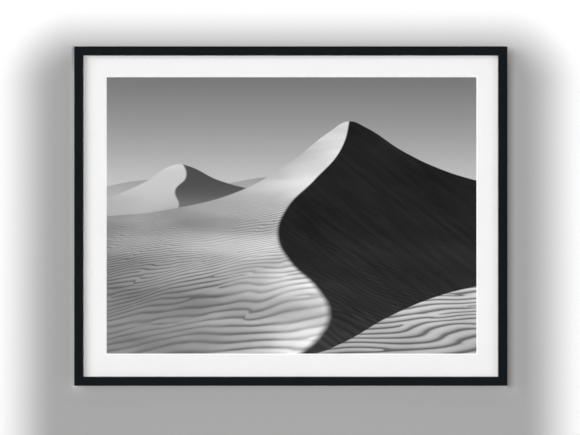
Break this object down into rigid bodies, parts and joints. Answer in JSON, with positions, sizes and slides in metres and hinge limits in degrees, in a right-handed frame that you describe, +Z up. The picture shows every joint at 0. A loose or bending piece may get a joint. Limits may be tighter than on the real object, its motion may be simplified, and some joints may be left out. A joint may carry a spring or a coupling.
{
  "type": "framed art print",
  "caption": "Landscape framed art print: slim mitred black frame, clear glazing, wide white window mat, monochrome print, backing held by turn buttons, and ring hangers.",
  "frame": {"origin": "midway between the two points where the hanging rings bear on their hooks, in the plane of the wall that the bumpers' back faces rest on", "axes": "+X to the right as seen from the front, +Y towards the wall, so the picture faces -Y, +Z up"},
  "size_m": [0.713, 0.026, 0.5586],
  "materials": {
    "black_wood": "satin black lacquer on fine grained hardwood",
    "clear_acrylic": "clear polished acrylic sheet",
    "mat_board": "matt white paper board with a bright bevelled core",
    "photo_paper": "monochrome print on lustre photo paper",
    "foam_board": "white paper faced foam board",
    "fibre_board": "raw brown fibre board",
    "zinc_steel": "bright zinc plated steel",
    "grey_felt": "dark grey pressed felt"
  },
  "bodies": {
    "frame": {"rail_top": "black_wood", "rail_right": "black_wood", "rail_bottom": "black_wood", "rail_left": "black_wood", "glazing": "clear_acrylic", "window_mat": "mat_board", "print_sheet": "photo_paper", "mount_board": "foam_board", "backing_board": "fibre_board", "turn_button_screw_top_1": "zinc_steel", "turn_button_screw_top_2": "zinc_steel", "turn_button_screw_top_3": "zinc_steel", "turn_button_screw_right_1": "zinc_steel", "turn_button_screw_right_2": "zinc_steel", "turn_button_screw_bottom_1": "zinc_steel", "turn_button_screw_bottom_2": "zinc_steel", "turn_button_screw_bottom_3": "zinc_steel", "turn_button_screw_left_1": "zinc_steel", "turn_button_screw_left_2": "zinc_steel", "hanger_strap_left": "zinc_steel", "hanger_strap_right": "zinc_steel", "hanger_screw_left": "zinc_steel", "hanger_screw_right": "zinc_steel", "wall_bumper_left": "grey_felt", "wall_bumper_right": "grey_felt"},
    "button_top_1": {"turn_button_top_1": "zinc_steel"},
    "button_top_2": {"turn_button_top_2": "zinc_steel"},
    "button_top_3": {"turn_button_top_3": "zinc_steel"},
    "button_right_1": {"turn_button_right_1": "zinc_steel"},
    "button_right_2": {"turn_button_right_2": "zinc_steel"},
    "button_bottom_1": {"turn_button_bottom_1": "zinc_steel"},
    "button_bottom_2": {"turn_button_bottom_2": "zinc_steel"},
    "button_bottom_3": {"turn_button_bottom_3": "zinc_steel"},
    "button_left_1": {"turn_button_left_1": "zinc_steel"},
    "button_left_2": {"turn_button_left_2": "zinc_steel"},
    "ring_left": {"hanger_ring_left": "zinc_steel"},
    "ring_right": {"hanger_ring_right": "zinc_steel"}
  },
  "joints": [
    {"name": "turn_top_1", "type": "hinge", "parent": "frame", "child": "button_top_1", "pos_m": [-0.23, -0.0032, 0.135], "axis": [0, 1, 0], "continuous": true},
    {"name": "turn_top_2", "type": "hinge", "parent": "frame", "child": "button_top_2", "pos_m": [0, -0.0032, 0.135], "axis": [0, 1, 0], "continuous": true},
    {"name": "turn_top_3", "type": "hinge", "parent": "frame", "child": "button_top_3", "pos_m": [0.23, -0.0032, 0.135], "axis": [0, 1, 0], "continuous": true},
    {"name": "turn_right_1", "type": "hinge", "parent": "frame", "child": "button_right_1", "pos_m": [0.3515, -0.0032, 0.0307], "axis": [0, 1, 0], "continuous": true},
    {"name": "turn_right_2", "type": "hinge", "parent": "frame", "child": "button_right_2", "pos_m": [0.3515, -0.0032, -0.3093], "axis": [0, 1, 0], "continuous": true},
    {"name": "turn_bottom_1", "type": "hinge", "parent": "frame", "child": "button_bottom_1", "pos_m": [0.23, -0.0032, -0.4136], "axis": [0, 1, 0], "continuous": true},
    {"name": "turn_bottom_2", "type": "hinge", "parent": "frame", "child": "button_bottom_2", "pos_m": [0, -0.0032, -0.4136], "axis": [0, 1, 0], "continuous": true},
    {"name": "turn_bottom_3", "type": "hinge", "parent": "frame", "child": "button_bottom_3", "pos_m": [-0.23, -0.0032, -0.4136], "axis": [0, 1, 0], "continuous": true},
    {"name": "turn_left_1", "type": "hinge", "parent": "frame", "child": "button_left_1", "pos_m": [-0.3515, -0.0032, -0.3093], "axis": [0, 1, 0], "continuous": true},
    {"name": "turn_left_2", "type": "hinge", "parent": "frame", "child": "button_left_2", "pos_m": [-0.3515, -0.0032, 0.0307], "axis": [0, 1, 0], "continuous": true},
    {"name": "ring_left_swing", "type": "hinge", "parent": "frame", "child": "ring_left", "pos_m": [-0.3507, -0.0022, -0.0101], "axis": [-1, 0, 0], "range_deg": [0, 170]},
    {"name": "ring_right_swing", "type": "hinge", "parent": "frame", "child": "ring_right", "pos_m": [0.3507, -0.0022, -0.0101], "axis": [-1, 0, 0], "range_deg": [0, 170]}
  ]
}
